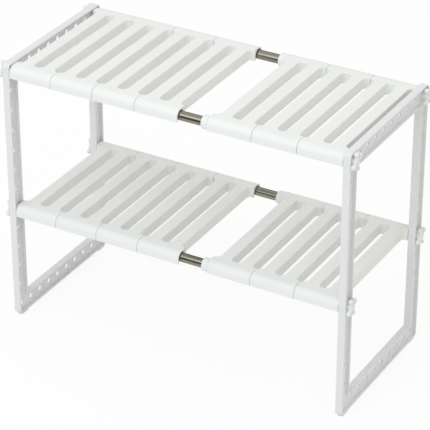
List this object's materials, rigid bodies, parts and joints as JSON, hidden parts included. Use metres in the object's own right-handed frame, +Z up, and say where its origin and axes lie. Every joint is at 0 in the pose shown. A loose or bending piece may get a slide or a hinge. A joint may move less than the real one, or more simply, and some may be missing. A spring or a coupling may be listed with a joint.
{
  "type": "under sink organizer",
  "caption": "Expandable two-tier under sink shelf: perforated end frames, telescoping steel rails, lift-off slatted panels and lobed hand knobs, with a gap between panels for a pipe.",
  "frame": {"origin": "on the floor, under the middle of the organizer at the width it is set to", "axes": "+X along the shelves to the outer-tube end, +Y to the rear, +Z up"},
  "size_m": [0.5282, 0.2292, 0.3908],
  "materials": {
    "frame_plastic": "fine satin moulding",
    "panel_plastic": "fine satin moulding",
    "collar_plastic": "fine satin moulding",
    "knob_plastic": "smooth satin moulding",
    "foot_plastic": "fine matt moulding",
    "plug_plastic": "fine matt moulding",
    "inner_steel": "polished stainless tube",
    "outer_steel": "polished stainless tube"
  },
  "bodies": {
    "left_half": {"left_frame": "frame_plastic", "left_feet": "foot_plastic", "upper_front_inner_tube": "inner_steel", "upper_front_guide_bush": "plug_plastic", "upper_front_left_plug": "plug_plastic", "upper_rear_inner_tube": "inner_steel", "upper_rear_guide_bush": "plug_plastic", "upper_rear_left_plug": "plug_plastic", "lower_front_inner_tube": "inner_steel", "lower_front_guide_bush": "plug_plastic", "lower_front_left_plug": "plug_plastic", "lower_rear_inner_tube": "inner_steel", "lower_rear_guide_bush": "plug_plastic", "lower_rear_left_plug": "plug_plastic"},
    "right_half": {"right_frame": "frame_plastic", "right_feet": "foot_plastic", "upper_front_outer_tube": "outer_steel", "upper_front_collar": "collar_plastic", "upper_front_right_plug": "plug_plastic", "upper_rear_outer_tube": "outer_steel", "upper_rear_collar": "collar_plastic", "upper_rear_right_plug": "plug_plastic", "lower_front_outer_tube": "outer_steel", "lower_front_collar": "collar_plastic", "lower_front_right_plug": "plug_plastic", "lower_rear_outer_tube": "outer_steel", "lower_rear_collar": "collar_plastic", "lower_rear_right_plug": "plug_plastic"},
    "upper_front_left_knob": {"upper_front_left_knob": "knob_plastic"},
    "upper_front_right_knob": {"upper_front_right_knob": "knob_plastic"},
    "upper_rear_left_knob": {"upper_rear_left_knob": "knob_plastic"},
    "upper_rear_right_knob": {"upper_rear_right_knob": "knob_plastic"},
    "upper_panel_1": {"upper_panel_1": "panel_plastic"},
    "upper_panel_2": {"upper_panel_2": "panel_plastic"},
    "upper_panel_3": {"upper_panel_3": "panel_plastic"},
    "upper_panel_4": {"upper_panel_4": "panel_plastic"},
    "upper_panel_5": {"upper_panel_5": "panel_plastic"},
    "upper_panel_6": {"upper_panel_6": "panel_plastic"},
    "upper_panel_7": {"upper_panel_7": "panel_plastic"},
    "lower_front_left_knob": {"lower_front_left_knob": "knob_plastic"},
    "lower_front_right_knob": {"lower_front_right_knob": "knob_plastic"},
    "lower_rear_left_knob": {"lower_rear_left_knob": "knob_plastic"},
    "lower_rear_right_knob": {"lower_rear_right_knob": "knob_plastic"},
    "lower_panel_1": {"lower_panel_1": "panel_plastic"},
    "lower_panel_2": {"lower_panel_2": "panel_plastic"},
    "lower_panel_3": {"lower_panel_3": "panel_plastic"},
    "lower_panel_4": {"lower_panel_4": "panel_plastic"},
    "lower_panel_5": {"lower_panel_5": "panel_plastic"},
    "lower_panel_6": {"lower_panel_6": "panel_plastic"},
    "lower_panel_7": {"lower_panel_7": "panel_plastic"}
  },
  "joints": [
    {"name": "width_slide", "type": "slide", "parent": "left_half", "child": "right_half", "axis": [1, 0, 0], "range_m": [-0.033, 0.12]},
    {"name": "upper_front_left_knob_turn", "type": "hinge", "parent": "left_half", "child": "upper_front_left_knob", "pos_m": [-0.2566, -0.1029, 0.3775], "axis": [-1, 0, 0], "continuous": true},
    {"name": "upper_front_right_knob_turn", "type": "hinge", "parent": "right_half", "child": "upper_front_right_knob", "pos_m": [0.2566, -0.1029, 0.3775], "axis": [1, 0, 0], "continuous": true},
    {"name": "upper_rear_left_knob_turn", "type": "hinge", "parent": "left_half", "child": "upper_rear_left_knob", "pos_m": [-0.2566, 0.1029, 0.3775], "axis": [-1, 0, 0], "continuous": true},
    {"name": "upper_rear_right_knob_turn", "type": "hinge", "parent": "right_half", "child": "upper_rear_right_knob", "pos_m": [0.2566, 0.1029, 0.3775], "axis": [1, 0, 0], "continuous": true},
    {"name": "upper_panel_1_lift", "type": "slide", "parent": "left_half", "child": "upper_panel_1", "axis": [0, 0, 1], "range_m": [0, 0.06]},
    {"name": "upper_panel_2_lift", "type": "slide", "parent": "left_half", "child": "upper_panel_2", "axis": [0, 0, 1], "range_m": [0, 0.06]},
    {"name": "upper_panel_3_lift", "type": "slide", "parent": "left_half", "child": "upper_panel_3", "axis": [0, 0, 1], "range_m": [0, 0.06]},
    {"name": "upper_panel_4_lift", "type": "slide", "parent": "left_half", "child": "upper_panel_4", "axis": [0, 0, 1], "range_m": [0, 0.06]},
    {"name": "upper_panel_5_lift", "type": "slide", "parent": "right_half", "child": "upper_panel_5", "axis": [0, 0, 1], "range_m": [0, 0.06]},
    {"name": "upper_panel_6_lift", "type": "slide", "parent": "right_half", "child": "upper_panel_6", "axis": [0, 0, 1], "range_m": [0, 0.06]},
    {"name": "upper_panel_7_lift", "type": "slide", "parent": "right_half", "child": "upper_panel_7", "axis": [0, 0, 1], "range_m": [0, 0.06]},
    {"name": "lower_front_left_knob_turn", "type": "hinge", "parent": "left_half", "child": "lower_front_left_knob", "pos_m": [-0.2566, -0.1029, 0.1675], "axis": [-1, 0, 0], "continuous": true},
    {"name": "lower_front_right_knob_turn", "type": "hinge", "parent": "right_half", "child": "lower_front_right_knob", "pos_m": [0.2566, -0.1029, 0.1675], "axis": [1, 0, 0], "continuous": true},
    {"name": "lower_rear_left_knob_turn", "type": "hinge", "parent": "left_half", "child": "lower_rear_left_knob", "pos_m": [-0.2566, 0.1029, 0.1675], "axis": [-1, 0, 0], "continuous": true},
    {"name": "lower_rear_right_knob_turn", "type": "hinge", "parent": "right_half", "child": "lower_rear_right_knob", "pos_m": [0.2566, 0.1029, 0.1675], "axis": [1, 0, 0], "continuous": true},
    {"name": "lower_panel_1_lift", "type": "slide", "parent": "left_half", "child": "lower_panel_1", "axis": [0, 0, 1], "range_m": [0, 0.06]},
    {"name": "lower_panel_2_lift", "type": "slide", "parent": "left_half", "child": "lower_panel_2", "axis": [0, 0, 1], "range_m": [0, 0.06]},
    {"name": "lower_panel_3_lift", "type": "slide", "parent": "left_half", "child": "lower_panel_3", "axis": [0, 0, 1], "range_m": [0, 0.06]},
    {"name": "lower_panel_4_lift", "type": "slide", "parent": "left_half", "child": "lower_panel_4", "axis": [0, 0, 1], "range_m": [0, 0.06]},
    {"name": "lower_panel_5_lift", "type": "slide", "parent": "right_half", "child": "lower_panel_5", "axis": [0, 0, 1], "range_m": [0, 0.06]},
    {"name": "lower_panel_6_lift", "type": "slide", "parent": "right_half", "child": "lower_panel_6", "axis": [0, 0, 1], "range_m": [0, 0.06]},
    {"name": "lower_panel_7_lift", "type": "slide", "parent": "right_half", "child": "lower_panel_7", "axis": [0, 0, 1], "range_m": [0, 0.06]}
  ]
}
